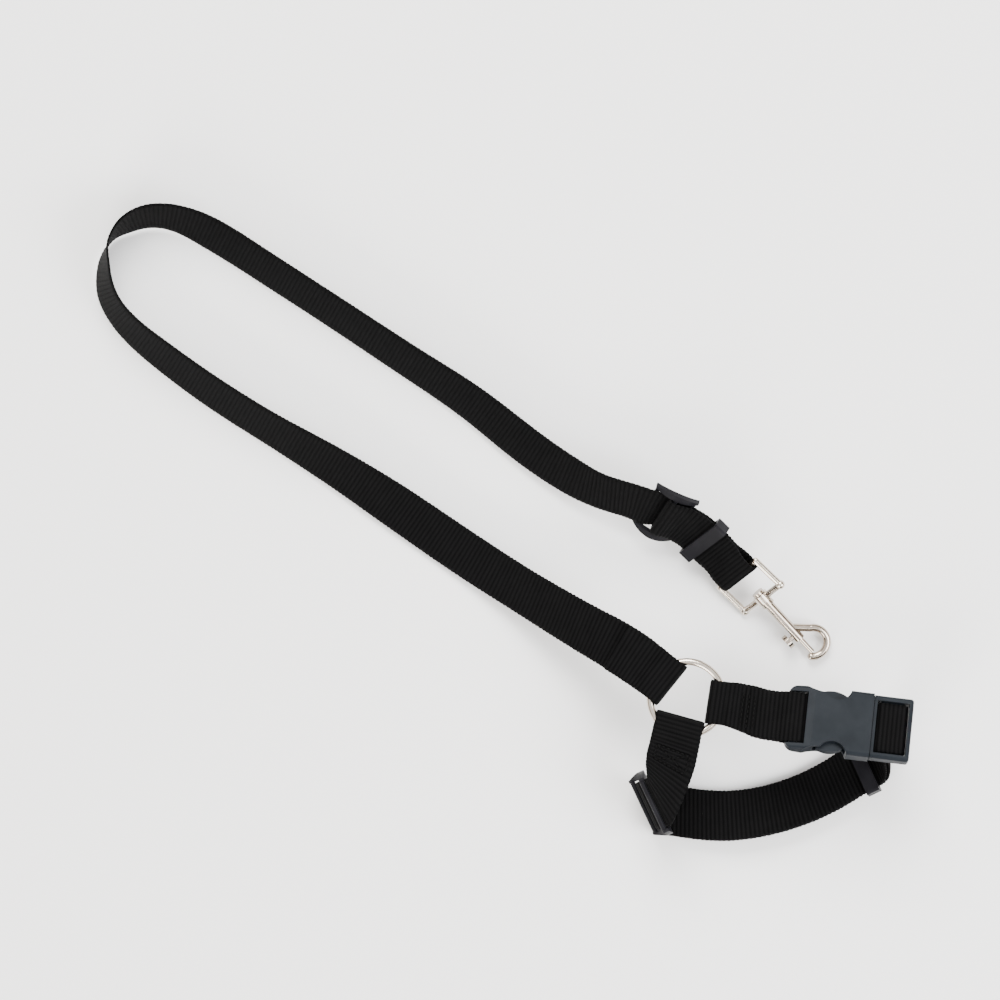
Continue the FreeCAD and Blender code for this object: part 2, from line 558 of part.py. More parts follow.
# The loop strap: x, y, z of its middle line, then its width's direction
LOOP_ROUTE = [
    (0, 0, 36, 0.951, 0.309, 0), (5, -15.4, 36, 0.951, 0.309, 0),
    (9.6, -27, 36.6, 0.97, 0.2, 0), (13.2, -38.2, 36.8, 1, -0.1, 0),
    (16.2, -46, 35.4, 0.93, -0.36, 0), (17.3, -49.9, 32.4, 0.87, -0.49, 0),
    (16.9, -50.5, 29.9, 0.858, -0.513, 0), (15.8, -52.4, 20.5, 0.858, -0.513, 0),
    (14.7, -54.3, 11.1, 0.858, -0.513, 0), (15.0, -55.1, 7.6, 0.81, -0.59, 0),
    (17.7, -54.5, 4.3, 0.7, -0.71, 0), (22.2, -52.3, 3.2, 0.6, -0.8, 0.03),
    (28.8, -49.0, 3.4, 0.55, -0.83, 0.1),
    (40.4, -43.2, 4.4, 0.55, -0.81, 0.2), (52.9, -35.0, 5.5, 0.58, -0.78, 0.3),
    (65.6, -23.1, 6.1, 0.65, -0.72, 0.34), (77.2, -8.2, 6.1, 0.74, -0.6, 0.33),
    (85.9, 7.6, 6.2, 0.79, -0.52, 0.3), (91.6, 20.2, 7.2, 0.8, -0.51, 0.28),
    (94.7, 27.0, 9.2, 0.75, -0.55, 0.28), (94.8, 32.8, 14, 0.64, -0.68, 0.3),
    (93.8, 36.5, 20.6, 0.53, -0.78, 0.31), (92.0, 39.3, 29, 0.444, -0.84, 0.31),
    (91.2, 40.9, 34.3, 0.432, -0.847, 0.309), (90.37, 42.52, 40, 0.432, -0.847, 0.309),
]
LOOP_SLIDER_AT = 7         # route stations of the loop's slider, its keeper and the strap bar
LOOP_KEEPER_AT = 18
LOOP_TAIL = 35.0           # how far from the ring's centre the loop strap's sewn end reaches
BEND_STEP = 2.5            # longest stretch of the loop strap between two of its sections
LOOP_SPLIT = 8.0           # from the keeper's middle to where the buckle's strap end begins

loop = Track([vec(*station[:3]) for station in LOOP_ROUTE],
             widths=[unit(vec(*station[3:])) for station in LOOP_ROUTE])
L_SLIDER = loop.params[LOOP_SLIDER_AT]
L_KEEPER = loop.params[LOOP_KEEPER_AT]
L_BAR = loop.params[-1]


def loop_webbing():
    """From the ring through the adjuster and keeper, and the doubled return to the adjuster."""
    split = L_KEEPER + LOOP_SPLIT
    path = ring_fold(LOOP_FOLD[0], LOOP_TAIL)
    path += run(path[-1], (LOOP_TAIL - 2, LAYER), 4)
    path += ease(path[-1], (L_SLIDER - 1.8 * SLIDER_PITCH, 0), 2)
    path += ease(path[-1], (L_SLIDER - SLIDER_PITCH, -OVER_END), 3)[:-1]
    path += through_slider(L_SLIDER, -1)
    path += ease(path[-1], (L_SLIDER + 2 * SLIDER_PITCH, LAYER), 6)
    path += run(path[-1], (split, LAYER), 6)
    out = ribbon(loop, fine(path, BEND_STEP), narrow(LOOP_FOLD))
    back = run((split, -LAYER), (L_SLIDER + 2 * SLIDER_PITCH, -LAYER), 6)
    back = [(split, -LAYER)] + back + back_to_slider(L_SLIDER, -1)
    return Part.Compound([out, ribbon(loop, fine(back, BEND_STEP), narrow())])


def loop_strap_end():
    """The loop strap's last stretch, round the prong side's strap bar, which moves with it."""
    start = L_KEEPER + LOOP_SPLIT + 0.3
    corner = WRAP_BAR_HALF - WRAP_BAR_R
    radius = WRAP_BAR_R + FIT_GAP + WEB_THICK / 2
    path = [(start, LAYER)]
    path += run(path[-1], (L_BAR - 13, LAYER), 4)
    path += ease(path[-1], (L_BAR, corner + radius), 5)[:-1]
    path += turn(L_BAR, corner, radius, 90, 0)
    path += turn(L_BAR, -corner, radius, 0, -90)
    path += ease(path[-1], (L_BAR - 13, -LAYER), 5)
    path += run(path[-1], (start, -LAYER), 4)
    return ribbon(loop, fine(path, BEND_STEP), narrow())


def flipped(shape):
    turned = shape.copy()
    turned.rotate(vec(0, 0, 0), vec(1, 0, 0), 180)
    return turned


# ---------------------------------------------------------------- all parts, by name

short_track, short_solid = short_strap()
ON_TOP = LAYER + WEB_THICK / 2 + 0.15        # just clear of a doubled strap's upper face
FOLD_END = 25.7                              # where every strap's layers lie together

write("o_ring", Part.makeTorus(RING_R, RING_WIRE / 2, ring_centre))
write("tether_webbing", tether_webbing())
write("tether_ring_stitching", stitches(tether, box_rows(FOLD_END + 1, RING_TAIL - 2, 8.5), ON_TOP))
write("tether_slider", place(tri_glide(), tether.frame(S_SLIDER)))
write("tether_keeper", place(keeper(), tether.frame(S_KEEPER)))
write("snap_eye", snap_eye())
write("snap_body", place(snap_body(), SNAP))
write("snap_bolt", place(snap_bolt(), SNAP))
write("bolt_spring", place(bolt_spring(), SNAP))
write("short_strap", short_solid)
write("short_strap_stitching", stitches(
    short_track, [((s, -9.5), (s, 9.5)) for s in (FOLD_END + 2, FOLD_END + 5, FOLD_END + 8)], ON_TOP))
write("buckle_female", place(buckle_female(), BUCKLE))
write("buckle_male", place(buckle_male(), BUCKLE))
write("latch_arm_upper", place(latch_arm(1), BUCKLE))
write("latch_arm_lower", place(latch_arm(-1), BUCKLE))
write("loop_webbing", loop_webbing())
write("loop_strap_end", loop_strap_end())
write("loop_ring_stitching", stitches(loop, box_rows(FOLD_END + 0.5, LOOP_TAIL - 1, 8.5), ON_TOP))
write("loop_slider", place(flipped(tri_glide()), loop.frame(L_SLIDER)))
write("loop_keeper", place(keeper(), loop.frame(L_KEEPER)))

# The origin is the centre of the base of the whole object's box.
low, high = vec(1e9, 1e9, 1e9), vec(-1e9, -1e9, -1e9)
for shape in PARTS.values():
    box = shape.optimalBoundingBox(False)
    low = vec(min(low.x, box.XMin), min(low.y, box.YMin), min(low.z, box.ZMin))
    high = vec(max(high.x, box.XMax), max(high.y, box.YMax), max(high.z, box.ZMax))
SHIFT = vec(-(low.x + high.x) / 2, -(low.y + high.y) / 2, -low.z)

os.makedirs("parts", exist_ok=True)
for name, shape in PARTS.items():
    shape.translate(SHIFT)
    shape.exportStep("parts/" + name + ".step")
    print(name, "valid" if shape.isValid() else "NOT VALID", round(shape.Volume, 1), "mm3")
print("size", high - low)
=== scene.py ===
import math
import bpy
import numpy as np
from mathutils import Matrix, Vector


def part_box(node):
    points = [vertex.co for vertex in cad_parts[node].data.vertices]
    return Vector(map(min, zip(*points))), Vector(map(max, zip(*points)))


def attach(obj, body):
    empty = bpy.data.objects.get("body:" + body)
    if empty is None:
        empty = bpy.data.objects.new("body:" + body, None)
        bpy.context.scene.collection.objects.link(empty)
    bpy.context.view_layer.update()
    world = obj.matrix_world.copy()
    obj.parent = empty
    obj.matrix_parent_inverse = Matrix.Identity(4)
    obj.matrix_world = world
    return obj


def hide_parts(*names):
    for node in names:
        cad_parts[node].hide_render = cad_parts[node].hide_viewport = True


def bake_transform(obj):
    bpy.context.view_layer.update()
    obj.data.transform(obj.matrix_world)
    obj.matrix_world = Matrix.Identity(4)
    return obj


# Adjustable webbing dog restraint, lying on a table. The webbing and its sewing are rebuilt here as
# detailed meshes along the CAD model's own strap routes; the hardware is the CAD's, with materials.
# Inside the buckle's two openings the webbing reaches a little further than the CAD's plain strap.
# Straps are drawn in the layout of the CAD source: millimetres about the O-ring's plan centre.

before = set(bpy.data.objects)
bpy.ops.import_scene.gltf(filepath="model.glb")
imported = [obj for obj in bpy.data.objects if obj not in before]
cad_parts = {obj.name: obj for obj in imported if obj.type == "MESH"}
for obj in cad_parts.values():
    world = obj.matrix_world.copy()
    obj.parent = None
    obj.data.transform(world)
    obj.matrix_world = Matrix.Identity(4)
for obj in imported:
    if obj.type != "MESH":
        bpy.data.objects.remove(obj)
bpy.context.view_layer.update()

MM = 0.001

# Driving dimensions, in millimetres, as in the CAD source
WEB_WIDTH = 25.0
WEB_THICK = 1.4
LAYER_GAP = 0.4
FIT_GAP = 0.45
RING_WIRE = 3.5
RING_HEIGHT = 36.0
TETHER_FOLD = (12.5, 24.0)     # from the ring's centre to the middle of each strap's fold,
SHORT_FOLD = (13.8, 21.4)      # and the width to which the webbing bunches there
LOOP_FOLD = (12.4, 24.0)
EYE_FOLD_WIDTH = 23.0
SHORT_STRAP_ANGLE = 25.5
EYE_WIRE = 3.2
SLIDER_PITCH = 9.6
SLIDER_BAR = 2.5
SLIDER_ARCH = 3.8
WRAP_BAR_R = 1.2
WRAP_BAR_HALF = 5.65
END_BAR_X = 4.0
END_BAR_R = 1.5
SLOT_DIVE = 2.6                # past the socket side's bar; 1 mm further than the CAD's strap
WRAP_SPARE = 0.3               # further along the prong side's bar than the CAD's strap, each way
SEAM_HALF = 8.5                # half the width of the sewn boxes
SHORT_SEAM_HALF = 9.5          # half the length of the short strap's rows of sewing

# The webbing's weave
RIB_PITCH = 2.1            # between neighbouring ribs, along the strap
RIB_DEPTH = 0.3
WARP_PITCH = 0.95          # between the threads that the ribs are divided by
SECTION_STEP = 0.42        # between two sections of a strap's mesh
ACROSS = 21                # points across each face of a strap
CREASE_BEHIND = 5.0        # from a fold's middle to the line pressed across the strap
DENT_DEPTH = 0.5           # how far sewing presses the webbing in, and how wide the dent is
DENT_WIDTH = 0.8
EDGE_FROM = 0.9            # share of the half width at which a face begins to round down,
EDGE_DROP = 0.3            # and how far it drops at the edge
SELVEDGE = 0.36            # how far the ribs' ends stand out at the strap's edges

# Colours: the darkest and lightest tone of each material, or one tint
# The webbing's dark tone is painted shade for the grooves between ribs and threads, its light tone
# painted highlight for their crests
WEBBING_TONES_WITH_PAINTED_SHADE = ((0.0003, 0.0003, 0.0004), (0.0046, 0.0045, 0.0047))
THREAD_TONES = ((0.0006, 0.0006, 0.0006), (0.003, 0.003, 0.003))
BUCKLE_TONES = ((0.0065, 0.0085, 0.011), (0.011, 0.0135, 0.017))
ADJUSTER_TONES = ((0.006, 0.0058, 0.0072), (0.0105, 0.0102, 0.0125))
WIRE_TINT = (0.66, 0.59, 0.51)
CAST_TINT = (0.5, 0.43, 0.36)

# Camera and light
VIEW_HEIGHT = 2.7          # metres above the O-ring
VIEW_FIELD = 0.485         # metres seen across the picture at the O-ring's height
VIEW_TURN = math.radians(34)
VIEW_CENTRE = Vector((-128.8, 29.05, 0)) * MM      # from the O-ring's centre
SENSOR_MM = 36.0


def node_centre(name):
    low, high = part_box(name)
    return (Vector(low) + Vector(high)) / 2


RING_CENTRE = node_centre("o_ring")
ORIGIN = RING_CENTRE - Vector((0, 0, RING_HEIGHT * MM))


# ---------------------------------------------------------------- camera, floor and lights

def make_camera():
    camera = bpy.data.objects.new("camera", bpy.data.cameras.new("camera"))
    bpy.context.scene.collection.objects.link(camera)
    camera.location = RING_CENTRE + VIEW_CENTRE + Vector((0, 0, VIEW_HEIGHT))
    camera.rotation_euler = (0, 0, VIEW_TURN)
    camera.data.sensor_width = SENSOR_MM
    camera.data.lens = SENSOR_MM * VIEW_HEIGHT / VIEW_FIELD
    camera.data.clip_end = 20
    bpy.context.scene.camera = camera


def area_light(name, offset, size, watts, colour):
    light = bpy.data.lights.new(name, "AREA")
    light.size = size
    light.energy = watts
    light.color = colour
    lamp = bpy.data.objects.new(name, light)
    bpy.context.scene.collection.objects.link(lamp)
    target = RING_CENTRE + VIEW_CENTRE
    lamp.location = target + Vector(offset)
    lamp.rotation_euler = (target - lamp.location).to_track_quat("-Z", "Y").to_euler()


def make_lights():
    area_light("key", (-0.9, 1.1, 1.5), 1.2, 84, (1.0, 0.99, 0.97))
    area_light("fill", (1.3, 0.3, 1.1), 1.0, 42, (0.97, 0.98, 1.0))
    area_light("rim", (0.2, -1.4, 0.8), 0.8, 28, (1.0, 0.97, 0.93))
    world = bpy.data.worlds.new("studio")
    bpy.context.scene.world = world
    world.use_nodes = True
    nodes, links = world.node_tree.nodes, world.node_tree.links
    background = nodes["Background"]
    # Bright above, with a dim warm band low round the room that metal picks up
    place = nodes.new("ShaderNodeTexCoord")
    parts = nodes.new("ShaderNodeSeparateXYZ")
    links.new(place.outputs["Generated"], parts.inputs[0])
    ramp = colour_ramp(nodes, [(0.0, (0.9, 0.9, 0.9)), (0.5, (0.10, 0.065, 0.04)),
                               (0.66, (0.22, 0.17, 0.13)), (0.8, (0.75, 0.72, 0.68)),
                               (0.9, (1.0, 1.0, 1.0))])
    stretch = nodes.new("ShaderNodeMapRange")
    stretch.inputs["From Min"].default_value = -1
    links.new(parts.outputs["Z"], stretch.inputs["Value"])
    links.new(stretch.outputs[0], ramp.inputs[0])
    links.new(ramp.outputs[0], background.inputs["Color"])
    background.inputs["Strength"].default_value = 1.5


def make_floor():
    size = 6.0
    corners = [(-size, -size, 0), (size, -size, 0), (size, size, 0), (-size, size, 0)]
    floor = add_mesh("floor", corners, [(0, 1, 2, 3)])
    floor.location = (RING_CENTRE.x, RING_CENTRE.y, -0.0002)
    material, shader, _, _ = new_material("floor_paper", 0.9)
    shader.inputs["Base Color"].default_value = (0.93, 0.93, 0.93, 1)
    floor.data.materials.append(material)


# ---------------------------------------------------------------- material helpers

def new_material(name, roughness, metallic=0.0):
    material = bpy.data.materials.new(name)
    material.use_nodes = True
    shader = material.node_tree.nodes["Principled BSDF"]
    shader.inputs["Roughness"].default_value = roughness
    shader.inputs["Metallic"].default_value = metallic
    return material, shader, material.node_tree.nodes, material.node_tree.links


def colour_ramp(nodes, stops):
    ramp = nodes.new("ShaderNodeValToRGB")
    elements = ramp.color_ramp.elements
    while len(elements) < len(stops):
        elements.new(0.5)
    for element, (position, colour) in zip(elements, stops):
        element.position = position
        element.color = (*colour, 1)
    return ramp


def noise(nodes, links, source, scale, detail=3.0):
    texture = nodes.new("ShaderNodeTexNoise")
    texture.inputs["Scale"].default_value = scale
    texture.inputs["Detail"].default_value = detail
    links.new(source, texture.inputs["Vector"])
    return texture.outputs["Fac"]


def math_node(nodes, links, operation, a, b=None, c=None):
    node = nodes.new("ShaderNodeMath")
    node.operation = operation
    for i, value in enumerate((a, b, c)):
        if value is None:
            continue
        if isinstance(value, (int, float)):
            node.inputs[i].default_value = value
        else:
            links.new(value, node.inputs[i])
    return node.outputs[0]


def add_bump(nodes, links, shader, height, strength, distance):
    bump = nodes.new("ShaderNodeBump")
    bump.inputs["Strength"].default_value = strength
    bump.inputs["Distance"].default_value = distance
    links.new(height, bump.inputs["Height"])
    links.new(bump.outputs[0], shader.inputs["Normal"])


def webbing_material(name, dark, light):
    """Ribbed polyester webbing: ribs across the strap, each divided into short floats of thread.
    Its colour is painted lighter on the crests of ribs and threads (painted highlight) and darker
    in the grooves (painted shade), with random patches.
    """
    material, shader, nodes, links = new_material(name, 0.72)
    shader.inputs["Specular IOR Level"].default_value = 0.035
    shader.inputs["Sheen Weight"].default_value = 0.01
    shader.inputs["Sheen Roughness"].default_value = 0.5
    uv = nodes.new("ShaderNodeUVMap")
    uv.uv_map = "weave"
    parts = nodes.new("ShaderNodeSeparateXYZ")
    links.new(uv.outputs[0], parts.inputs[0])
    rib, thread = parts.outputs["X"], parts.outputs["Y"]
    half_step = math_node(nodes, links, "MULTIPLY", math_node(nodes, links, "FLOOR", rib), 0.5)
    shifted = math_node(nodes, links, "ADD", thread, half_step)
    rib_wave = math_node(nodes, links, "ABSOLUTE", math_node(
        nodes, links, "SINE", math_node(nodes, links, "MULTIPLY", rib, math.pi)))
    thread_wave = math_node(nodes, links, "ABSOLUTE", math_node(
        nodes, links, "SINE", math_node(nodes, links, "MULTIPLY", shifted, math.pi)))
    soft_thread = math_node(nodes, links, "MULTIPLY_ADD", thread_wave, 0.45, 0.55)
    weave = math_node(nodes, links, "MULTIPLY", rib_wave, soft_thread)
    place = nodes.new("ShaderNodeTexCoord")
    fuzz = noise(nodes, links, place.outputs["Object"], 2600)
    patches = noise(nodes, links, place.outputs["Object"], 130)
    # The weave's relief drives both the bump and the colour: painted highlight on the crests,
    # painted shade in the grooves
    weave_relief_and_painted_shade = math_node(nodes, links, "MULTIPLY_ADD", fuzz, 0.5, weave)
    tone = math_node(nodes, links, "MULTIPLY_ADD", patches, 0.5, weave_relief_and_painted_shade)
    spread = math_node(nodes, links, "MULTIPLY", tone, 0.55)
    ramp = colour_ramp(nodes, [(0.25, dark), (0.95, light)])
    links.new(spread, ramp.inputs[0])
    links.new(ramp.outputs[0], shader.inputs["Base Color"])
    add_bump(nodes, links, shader, weave_relief_and_painted_shade, 0.55, 0.00025)
    return material


def thread_material():
    material, shader, nodes, links = new_material("sewing_thread", 0.55)
    shader.inputs["Specular IOR Level"].default_value = 0.08
    place = nodes.new("ShaderNodeTexCoord")
    twist = noise(nodes, links, place.outputs["Object"], 3000)
    ramp = colour_ramp(nodes, [(0.3, THREAD_TONES[0]), (0.75, THREAD_TONES[1])])
    links.new(twist, ramp.inputs[0])
    links.new(ramp.outputs[0], shader.inputs["Base Color"])
    add_bump(nodes, links, shader, twist, 0.4, 0.0001)
    return material


def plastic_material(name, dark, light, roughness):
    """Moulded plastic with a fine grain, faint flow marks and light wear."""
    material, shader, nodes, links = new_material(name, roughness)
    shader.inputs["Specular IOR Level"].default_value = 0.07
    place = nodes.new("ShaderNodeTexCoord")
    flow = noise(nodes, links, place.outputs["Object"], 90)
    grain = noise(nodes, links, place.outputs["Object"], 3200, 2.0)
    tone = colour_ramp(nodes, [(0.3, dark), (0.72, light)])
    links.new(flow, tone.inputs[0])
    links.new(tone.outputs[0], shader.inputs["Base Color"])
    gloss = nodes.new("ShaderNodeMapRange")
    gloss.inputs["To Min"].default_value = roughness - 0.08
    gloss.inputs["To Max"].default_value = roughness + 0.1
    links.new(grain, gloss.inputs["Value"])
    links.new(gloss.outputs[0], shader.inputs["Roughness"])
    add_bump(nodes, links, shader, grain, 0.25, 0.00012)
    return material


def nickel_material(name, tint):
    """Nickel plate with polishing marks and slightly dulled patches."""
    material, shader, nodes, links = new_material(name, 0.16, 1.0)
    place = nodes.new("ShaderNodeTexCoord")
    patches = noise(nodes, links, place.outputs["Object"], 240)
    marks = noise(nodes, links, place.outputs["Object"], 1800, 2.0)
    tone = colour_ramp(nodes, [(0.3, tuple(0.88 * c for c in tint)), (0.7, tint)])
    links.new(patches, tone.inputs[0])
    links.new(tone.outputs[0], shader.inputs["Base Color"])
    gloss = nodes.new("ShaderNodeMapRange")
    gloss.inputs["To Min"].default_value = 0.1
    gloss.inputs["To Max"].default_value = 0.3
    links.new(patches, gloss.inputs["Value"])
    links.new(gloss.outputs[0], shader.inputs["Roughness"])
    add_bump(nodes, links, shader, marks, 0.12, 0.00008)
    return material


# ---------------------------------------------------------------- meshes

def add_mesh(name, points, faces, smooth=False):
    mesh = bpy.data.meshes.new(name)
    mesh.from_pydata([tuple(p) for p in points], [], faces)
    mesh.update()
    if smooth:
        mesh.polygons.foreach_set("use_smooth", [True] * len(mesh.polygons))
    thing = bpy.data.objects.new(name, mesh)
    bpy.context.scene.collection.objects.link(thing)
    return thing


def unit(v):
    v = np.asarray(v, float)
    return v / np.linalg.norm(v, axis=-1, keepdims=True)


def slopes(params, values):
    """Slopes of the smooth cubic spline through values at params, with three-point end slopes."""
    h = np.diff(params)
    chords = np.diff(values, axis=0) / h[:, None]
    count = len(params)
    system = np.zeros((count, count))
    right = np.zeros_like(values, dtype=float)
    system[0, 0] = system[-1, -1] = 1
    right[0] = chords[0] + (chords[0] - chords[1]) * h[0] / (h[0] + h[1])
    right[-1] = chords[-1] + (chords[-1] - chords[-2]) * h[-1] / (h[-1] + h[-2])
    for i in range(1, count - 1):
        system[i, i - 1:i + 2] = h[i], 2 * (h[i - 1] + h[i]), h[i - 1]
        right[i] = 3 * (h[i] * chords[i - 1] + h[i - 1] * chords[i])
    return np.linalg.solve(system, right)


def gentle_slopes(params, values):
    """Slopes of a curve through values that doesn't overshoot between them."""
    h = np.diff(params)[:, None]
    chords = np.diff(values, axis=0) / h
    inner = (h[1:] * chords[:-1] + h[:-1] * chords[1:]) / (h[1:] + h[:-1])
    return np.vstack((chords[:1], inner, chords[-1:]))


def hermite(params, values, slope, at):
    """Points and directions of a cubic through values with the given slopes."""
    i = np.clip(np.searchsorted(params, at, side="right") - 1, 0, len(params) - 2)
    h = (params[i + 1] - params[i])[:, None]
    u = (at - params[i])[:, None] / h
    a, b = values[i], values[i + 1]
    da, db = slope[i] * h, slope[i + 1] * h
    point = (a * (2 * u ** 3 - 3 * u ** 2 + 1) + da * (u ** 3 - 2 * u ** 2 + u)
             + b * (3 * u ** 2 - 2 * u ** 3) + db * (u ** 3 - u ** 2))
    way = (a * (6 * u ** 2 - 6 * u) + da * (3 * u ** 2 - 4 * u + 1)
           + b * (6 * u - 6 * u ** 2) + db * (3 * u ** 2 - 2 * u)) / h
    return point, way


def roll_width(way, roll):
    """The width's direction of a strap that runs along way, rolled above the level line."""
    level = unit(np.cross((0, 0, 1), way))
    rise = unit(np.cross(way, level))
    angle = math.radians(roll)
    return level * math.cos(angle) + rise * math.sin(angle)


class Track:
    """The middle surface of a strap: a smooth line through stations, with a width direction."""

    def __init__(self, points, widths=None, rolls=None):
        self.points = np.array(points, float)
        steps = np.linalg.norm(np.diff(self.points, axis=0), axis=1)
        self.params = np.concatenate(([0.0], np.cumsum(steps)))
        self.slope = slopes(self.params, self.points)
        if rolls:
            widths = [roll_width(way, roll) for way, roll in zip(unit(self.slope), rolls)]
        self.widths = unit(widths)

    def frames(self, s):
        """Points, directions, widths and outward normals at an array of station parameters."""
        s = np.asarray(s, float)
        held = np.clip(s, self.params[0], self.params[-1])
        point, way = hermite(self.params, self.points, self.slope, held)
        way = unit(way)
        last = len(self.params) - 1
        i = np.clip(np.searchsorted(self.params, held, side="right") - 1, 0, last - 1)
        u = ((held - self.params[i]) / (self.params[i + 1] - self.params[i]))[:, None]
        w0, w1 = self.widths[np.maximum(i - 1, 0)], self.widths[i]
        w2, w3 = self.widths[i + 1], self.widths[np.minimum(i + 2, last)]
        width = unit(w1 * 2 + (w2 - w0) * u + (w0 * 2 - w1 * 5 + w2 * 4 - w3) * u ** 2
                     + (w1 * 3 - w0 - w2 * 3 + w3) * u ** 3)
        normal = unit(np.cross(way, width))
        return point + way * (s - held)[:, None], np.cross(width, normal), width, normal


def ease(a, b, count=5):
    """Points from a to b, (s, n) each, that leave and arrive level."""
    steps = [i / count for i in range(1, count + 1)]
    return [(a[0] + (b[0] - a[0]) * u, a[1] + (b[1] - a[1]) * u * u * (3 - 2 * u)) for u in steps]


def run(a, b, step=9.0):
    """Evenly spaced points from a to b."""
    count = max(1, round(abs(b[0] - a[0]) / step))
    return [(a[0] + (b[0] - a[0]) * i / count, a[1] + (b[1] - a[1]) * i / count)
            for i in range(1, count + 1)]


def turn(s, n, radius, start, end, count=12):
    """An arc in the (s, n) plane about (s, n), angles in degrees."""
    angles = [math.radians(start + (end - start) * i / count) for i in range(count + 1)]
    return [(s + radius * math.cos(a), n + radius * math.sin(a)) for a in angles]


class Strap:
    """A closed length of webbing with real ribs, rounded edges and pressed-in sewing."""

    def __init__(self, name, track, path, width_at, seams=(), seam_side=1):
        self.name, self.track, self.width_at = name, track, width_at
        self.seams, self.seam_side = seams, seam_side
        path = np.array(path, float)
        steps = np.linalg.norm(np.diff(path, axis=0), axis=1)
        keep = np.concatenate(([True], steps > 1e-6))
        path = path[keep]
        params = np.concatenate(([0.0], np.cumsum(np.linalg.norm(np.diff(path, axis=0), axis=1))))
        count = int(params[-1] / SECTION_STEP) + 1
        at = np.linspace(0, params[-1], count)
        self.flat, self.flat_way = hermite(params, path, gentle_slopes(params, path), at)

    def build(self, material):
        s, n = self.flat[:, 0], self.flat[:, 1]
        point, way, width, normal = self.track.frames(s)
        middle = point + normal * n[:, None]
        direction = unit(self.flat_way)
        out = unit(normal * direction[:, :1] - way * direction[:, 1:])
        length = np.concatenate(([0.0], np.cumsum(np.linalg.norm(np.diff(middle, axis=0), axis=1))))
        self.length = length[-1]
        wide = np.array([self.width_at(v) for v in s])
        rib = np.abs(np.sin(length / RIB_PITCH * math.pi))
        rng = np.random.default_rng(len(s))
        jitter = rng.normal(0, 0.05, len(s))
        # One section: across the outer face, round an edge, back across the inner face
        spots = np.linspace(-1, 1, ACROSS)
        rows, uvs = [], []
        for face in (1, -1):
            for spot in spots * face:
                edge = np.clip((abs(spot) - EDGE_FROM) / (1 - EDGE_FROM), 0, 1)
                lift = WEB_THICK / 2 - RIB_DEPTH * (1 - rib) * (1 - edge) - EDGE_DROP * edge ** 2
                if face == self.seam_side:
                    lift = lift - self.dent(s, n, spot * wide / 2)
                reach = spot * (wide / 2 - SELVEDGE + (SELVEDGE * rib + jitter) * edge)
                rows.append(middle + width * reach[:, None] + out * (lift * face)[:, None])
                uvs.append(np.stack((length / RIB_PITCH, reach / WARP_PITCH), axis=1))
            reach = face * (wide / 2 - 0.02 - SELVEDGE * (1 - rib) + jitter)
            rows.append(middle + width * reach[:, None])
            uvs.append(np.stack((length / RIB_PITCH, reach / WARP_PITCH), axis=1))
        ring, count = len(rows), len(s)
        points = np.stack(rows, axis=1).reshape(-1, 3) * MM + np.array(ORIGIN)
        coords = np.stack(uvs, axis=1).reshape(-1, 2)
        faces = [(i * ring + j, i * ring + (j + 1) % ring, (i + 1) * ring + (j + 1) % ring,
                  (i + 1) * ring + j)
                 for i in range(count - 1) for j in range(ring)]
        faces.append(tuple(range(ring - 1, -1, -1)))
        faces.append(tuple(range((count - 1) * ring, count * ring)))
        strap = add_mesh(self.name, points, faces, smooth=True)
        weave = strap.data.uv_layers.new(name="weave")
        corners = np.empty(len(strap.data.loops), dtype=np.int64)
        strap.data.loops.foreach_get("vertex_index", corners)
        weave.data.foreach_set("uv", coords[corners].ravel())
        if signed_volume(strap.data) < 0:
            strap.data.flip_normals()
        strap.data.materials.append(material)
        return strap

    def dent(self, s, n, y):
        """How far the sewing presses the face in, at (s, y) on the strap."""
        depth = np.zeros(len(s))
        for (s0, y0), (s1, y1) in self.seams:
            along = np.array((s1 - s0, y1 - y0))
            u = np.clip(((s - s0) * along[0] + (y - y0) * along[1]) / along.dot(along), 0, 1)
            away = np.hypot(s - s0 - along[0] * u, y - y0 - along[1] * u)
            depth = np.maximum(depth, DENT_DEPTH * np.exp(-(away / DENT_WIDTH) ** 2))
        return depth * (n * self.seam_side > 0)


def signed_volume(mesh):
    mesh.calc_loop_triangles()
    points = np.empty(len(mesh.vertices) * 3)
    mesh.vertices.foreach_get("co", points)
    corners = np.empty(len(mesh.loop_triangles) * 3, dtype=np.int64)
    mesh.loop_triangles.foreach_get("vertices", corners)
    a, b, c = points.reshape(-1, 3)[corners.reshape(-1, 3)].transpose(1, 0, 2)
    return np.einsum("ij,ij->i", a, np.cross(b, c)).sum()


